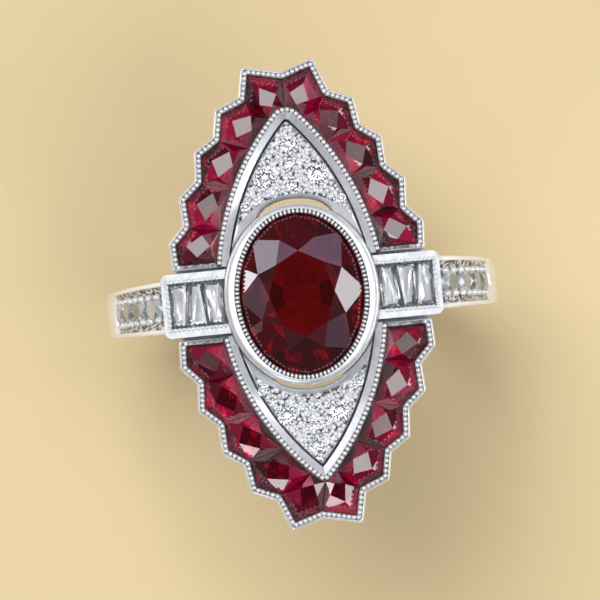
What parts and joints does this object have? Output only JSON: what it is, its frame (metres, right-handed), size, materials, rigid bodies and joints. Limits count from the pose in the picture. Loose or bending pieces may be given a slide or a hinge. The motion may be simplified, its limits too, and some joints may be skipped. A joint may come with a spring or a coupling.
{
  "type": "cocktail ring",
  "caption": "Navette cluster cocktail ring: oval centre stone in a millegrained bezel, tapered calibre stones in a scalloped rim, pave plates, baguette shoulders and a tapered shank.",
  "frame": {"origin": "centre of the finger hole, on its axis, midway through the shank's width", "axes": "+Y along the finger hole's axis and the head's long axis, +Z from the hole's centre up through the head, +X across the finger"},
  "size_m": [0.02, 0.0235, 0.0233],
  "materials": {
    "white_metal": "polished white precious metal, bright cut",
    "ruby": "polished faceted deep red stone",
    "diamond": "polished faceted colourless stone"
  },
  "bodies": {
    "root": {"baguette_box_left": "white_metal", "baguette_box_right": "white_metal", "baguette_diamond_left_1": "diamond", "baguette_diamond_left_2": "diamond", "baguette_diamond_left_3": "diamond", "baguette_diamond_right_1": "diamond", "baguette_diamond_right_2": "diamond", "baguette_diamond_right_3": "diamond", "calibre_ruby_back_left_1": "ruby", "calibre_ruby_back_left_2": "ruby", "calibre_ruby_back_left_3": "ruby", "calibre_ruby_back_left_4": "ruby", "calibre_ruby_back_left_5": "ruby", "calibre_ruby_back_right_1": "ruby", "calibre_ruby_back_right_2": "ruby", "calibre_ruby_back_right_3": "ruby", "calibre_ruby_back_right_4": "ruby", "calibre_ruby_back_right_5": "ruby", "calibre_ruby_front_left_1": "ruby", "calibre_ruby_front_left_2": "ruby", "calibre_ruby_front_left_3": "ruby", "calibre_ruby_front_left_4": "ruby", "calibre_ruby_front_left_5": "ruby", "calibre_ruby_front_right_1": "ruby", "calibre_ruby_front_right_2": "ruby", "calibre_ruby_front_right_3": "ruby", "calibre_ruby_front_right_4": "ruby", "calibre_ruby_front_right_5": "ruby", "centre_bezel": "white_metal", "centre_ruby": "ruby", "gallery_plate": "white_metal", "navette_frame_back": "white_metal", "navette_frame_front": "white_metal", "outer_rim_back": "white_metal", "outer_rim_front": "white_metal", "pave_plate_back": "white_metal", "pave_plate_front": "white_metal", "plate_diamond_back_1": "diamond", "plate_diamond_back_2": "diamond", "plate_diamond_back_3": "diamond", "plate_diamond_back_4": "diamond", "plate_diamond_back_5": "diamond", "plate_diamond_back_6": "diamond", "plate_diamond_back_7": "diamond", "plate_diamond_front_1": "diamond", "plate_diamond_front_2": "diamond", "plate_diamond_front_3": "diamond", "plate_diamond_front_4": "diamond", "plate_diamond_front_5": "diamond", "plate_diamond_front_6": "diamond", "plate_diamond_front_7": "diamond", "shank": "white_metal", "shoulder_diamond_left_1": "diamond", "shoulder_diamond_left_2": "diamond", "shoulder_diamond_left_3": "diamond", "shoulder_diamond_left_4": "diamond", "shoulder_diamond_right_1": "diamond", "shoulder_diamond_right_2": "diamond", "shoulder_diamond_right_3": "diamond", "shoulder_diamond_right_4": "diamond"}
  },
  "joints": []
}
